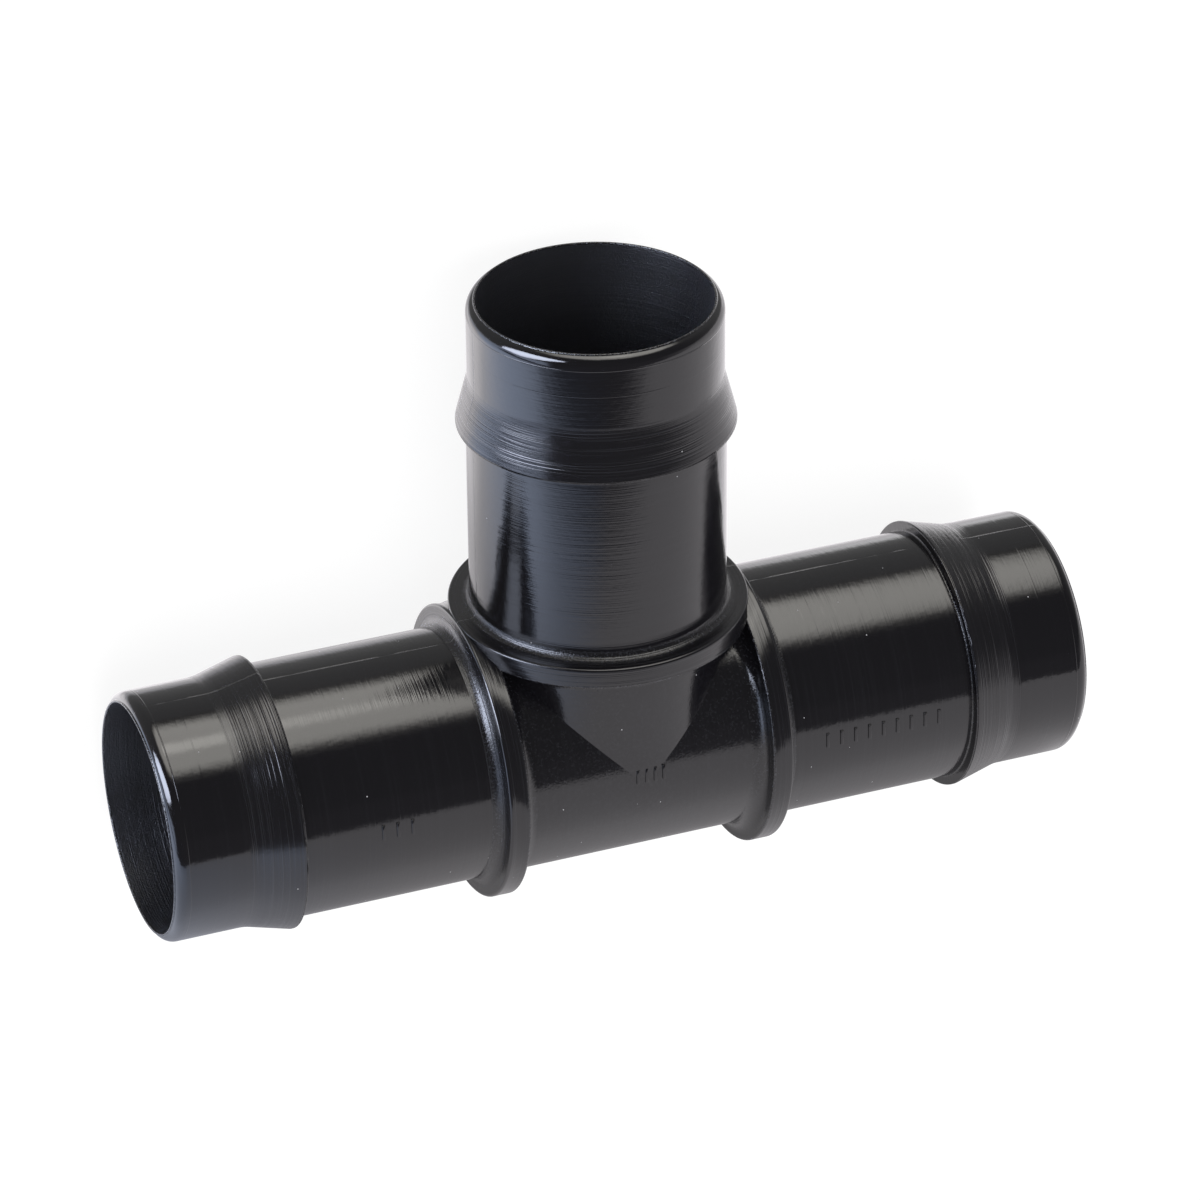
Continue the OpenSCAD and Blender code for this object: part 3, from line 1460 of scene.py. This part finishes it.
screen_glow, screen_tree, screen_emission = glow("white screen")
across = ease(screen_tree, spot_in_mm(screen_tree, "X"), 125.0, 200.0)
screen_y = spot_in_mm(screen_tree, "Y")
lower = ease(screen_tree, screen_y, -10.0, 35.0, low=SCREEN_FOOT)
upper = ease(screen_tree, screen_y, 100.0, 40.0, high=SCREEN_LEVEL)
screen_strength = product(screen_tree, across, lower, upper)
plug(screen_tree, screen_emission.inputs["Strength"], screen_strength)
add_shader(screen_tree, screen_emission, add_node(screen_tree, "ShaderNodeBsdfTransparent"))
screen_corners = [
    Vector((x, y, -SCREEN_BACK)) * MM
    for x, y in (
        (SCREEN_FROM, table_down),
        (SCREEN_TO, table_down),
        (SCREEN_TO, SCREEN_TOP),
        (SCREEN_FROM, SCREEN_TOP),
    )
]
only_reflected(stage_mesh("back_screen", screen_corners, screen_glow))
print("screen from x =", SCREEN_FROM, "to", SCREEN_TO, "mm")

# %% [markdown]
# The cool window stands on the left and reaches higher than the fitting. The bright
# rims of the lips mirror its whole outline, so its corners (y, z) were read off from
# them. It glows most in the middle and is a little dimmer along its frame.

# %% The window on the left
WINDOW_LEFT = -430.0
PANE_LEVEL = 13.0
MIDDLE_GAIN = 4.0
WINDOW_COOL = (0.9, 0.98, 1.2, 1.0)
WINDOW_CORNERS = (
    (-53, 75),
    (131, 95),
    (131, 250),
    (15, 408),
    (-269, 485),
    (-415, 400),
    (-324, 272),
    (-174, 142),
)

window_glow, window_tree, window_emission = glow("window")
window_emission.inputs["Color"].default_value = WINDOW_COOL
depths = []
for start, end in zip(WINDOW_CORNERS, WINDOW_CORNERS[1:] + WINDOW_CORNERS[:1]):
    side = Vector(end) - Vector(start)
    inward = Vector((0.0, -side.y, side.x)).normalized()
    depths.append(way_along(window_tree, (WINDOW_LEFT, *start), inward))
from_frame = depths[0]
for depth in depths[1:]:
    from_frame = calc(window_tree, "MINIMUM", from_frame, depth)
pane = ease(window_tree, from_frame, 0.0, 26.0 * MM, high=PANE_LEVEL)
middle = ease(window_tree, from_frame, 20.0 * MM, 110.0 * MM, high=MIDDLE_GAIN)
plug(window_tree, window_emission.inputs["Strength"], total(window_tree, pane, middle))
window_corners = [lying((WINDOW_LEFT, y, z)) * MM for y, z in WINDOW_CORNERS]
only_reflected(stage_mesh("window", window_corners, window_glow))
print("window at x =", WINDOW_LEFT, "mm")

# %% [markdown]
# ## The room and the backdrop
#
# The room is looked up by direction. The standing tee's horizon is the lying tee's XZ
# plane, so the compass counts turns in that plane, from behind the camera over the left
# and the far side to the right.

# %% Directions in the room
world = bpy.data.worlds.new("studio")
world.use_nodes = True
bpy.context.scene.world = world
room = world.node_tree
room.nodes.clear()
heading = separate(room, add_node(room, "ShaderNodeTexCoord").outputs["Generated"])
away = product(room, heading["Z"], -1.0)
compass = calc(room, "ARCTAN2", heading["X"], away)
compass = total(room, calc(room, "DIVIDE", compass, 2 * math.pi), 0.5)
print("directions take", len(room.nodes), "nodes")

# %% [markdown]
# What the gloss sees of the room is a pale band near the horizon of the standing tee,
# cool and bright to the left, and a dim room above it. The band is given by stops
# round the compass: degrees, how bright it is there, and how blue.

# %% The horizon of the room
BRIGHTEST = 4.0
HORIZON_STOPS = (
    (-180, 0.12, 0.0),
    (-122, 0.14, 0.5),
    (-114, 2.6, 1.0),
    (-95, 2.9, 1.0),
    (-80, 2.6, 1.0),
    (-70, 2.5, 1.0),
    (-48, 2.0, 0.6),
    (-38, 2.0, 0.4),
    (-15, 1.6, 0.1),
    (3, 1.1, 0.1),
    (40, 1.25, 0.0),
    (85, 1.4, 0.0),
    (105, 0.95, 0.0),
    (127, 0.45, 0.0),
    (145, 0.18, 0.0),
    (180, 0.12, 0.0),
)

horizon = add_node(room, "ShaderNodeValToRGB", {"Fac": compass})
ramp = horizon.color_ramp
while len(ramp.elements) < len(HORIZON_STOPS):
    ramp.elements.new(0.5)
for stop, (degrees, brightness, blue) in zip(ramp.elements, HORIZON_STOPS):
    stop.position = degrees / 360 + 0.5
    tint = [n + (b - n) * blue for n, b in zip(NEUTRAL, WINDOW_BLUE)]
    stop.color = (*[brightness * t / BRIGHTEST for t in tint[:3]], 1.0)
bright = add_node(room, "ShaderNodeMix", {0: 1.0}, data_type="RGBA", blend_type="MULTIPLY")
plug(room, bright.inputs[6], horizon.outputs["Color"])
plug(room, bright.inputs[7], (BRIGHTEST, BRIGHTEST, BRIGHTEST, 1.0))
print("horizon stops:", len(HORIZON_STOPS))

# %% [markdown]
# Above the band the room is grey, darkest behind the camera. The camera itself sees
# plain white behind the part. All other rays meet an even white of plain strength,
# which together with one large soft lamp lights the floor.

# %% The rest of the room
ROOM_BEHIND_CAMERA = 0.11
ROOM_AHEAD = 0.42
BAND_TOP = 0.16
WORLD_PLAIN = 0.6
WHITE = (1.0, 1.0, 1.0, 1.0)

grey = ease(room, away, -0.6, 0.6, low=ROOM_BEHIND_CAMERA, high=ROOM_AHEAD)
sky = add_node(room, "ShaderNodeCombineColor", {"Red": grey, "Green": grey, "Blue": grey})
above_horizon = ease(room, heading["Y"], 0.0, BAND_TOP)
seen_in_gloss = colour_mix(room, above_horizon, bright.outputs[2], sky.outputs["Color"])
gloss = add_node(room, "ShaderNodeBackground", {"Color": seen_in_gloss})
plain = add_node(room, "ShaderNodeBackground", {"Color": WHITE, "Strength": WORLD_PLAIN})
white = add_node(room, "ShaderNodeBackground", {"Color": WHITE, "Strength": 1.0})
ray = add_node(room, "ShaderNodeLightPath")
shown = plain
for kind, background in (("Is Glossy Ray", gloss), ("Is Camera Ray", white)):
    chosen = add_node(room, "ShaderNodeMixShader", {0: ray.outputs[kind]})
    room.links.new(shown.outputs[0], chosen.inputs[1])
    room.links.new(background.outputs[0], chosen.inputs[2])
    shown = chosen
world_output = add_node(room, "ShaderNodeOutputWorld")
room.links.new(shown.outputs[0], world_output.inputs["Surface"])
print("world has", len(room.nodes), "nodes")

# %% [markdown]
# ## The floor
#
# The part lies on its collars on a pale floor. The floor is matt and takes the
# part's soft shadow. Most of its white is seen by the camera alone, so that the
# picture's background stays white without more light on the part. The gloss looks
# past the floor, at the cards of the standing tee.

# %% Floor
FLOOR_COLOUR = (0.22, 0.22, 0.22, 1.0)
FLOOR_WHITE = 0.88
FLOOR_HALF = 3.0

floor_glow, floor_tree, floor_emission = glow("pale floor")
floor_ray = add_node(floor_tree, "ShaderNodeLightPath")
lift = product(floor_tree, floor_ray.outputs["Is Camera Ray"], FLOOR_WHITE)
plug(floor_tree, floor_emission.inputs["Strength"], lift)
matt = add_node(floor_tree, "ShaderNodeBsdfDiffuse", {"Color": FLOOR_COLOUR})
add_shader(floor_tree, floor_emission, matt)
floor_level = -collar_radius * MM
floor_corners = [
    (x * FLOOR_HALF, y * FLOOR_HALF, floor_level)
    for x, y in ((-1, -1), (1, -1), (1, 1), (-1, 1))
]
floor = stage_mesh("floor", floor_corners, floor_glow)
floor.visible_glossy = False
print("floor at z =", round(floor_level / MM, 2), "mm")

# %% [markdown]
# One large soft lamp hangs straight above the floor. It draws the soft shadow under
# the part, and the gloss doesn't see it.

# %% Lamp
LAMP_SIZE = 1.6
LAMP_HEIGHT = 1.8
LAMP_WATTS = 14.0

lamp_data = bpy.data.lights.new("soft_lamp", "AREA")
lamp_data.shape = "SQUARE"
lamp_data.size = LAMP_SIZE
lamp_data.energy = LAMP_WATTS
lamp = new_object("soft_lamp", lamp_data)
lamp.location = (0.0, 0.0, LAMP_HEIGHT)
lamp.visible_glossy = False
bpy.context.scene.view_settings.view_transform = "Standard"
print("lamp of", LAMP_WATTS, "W at", LAMP_HEIGHT, "m")
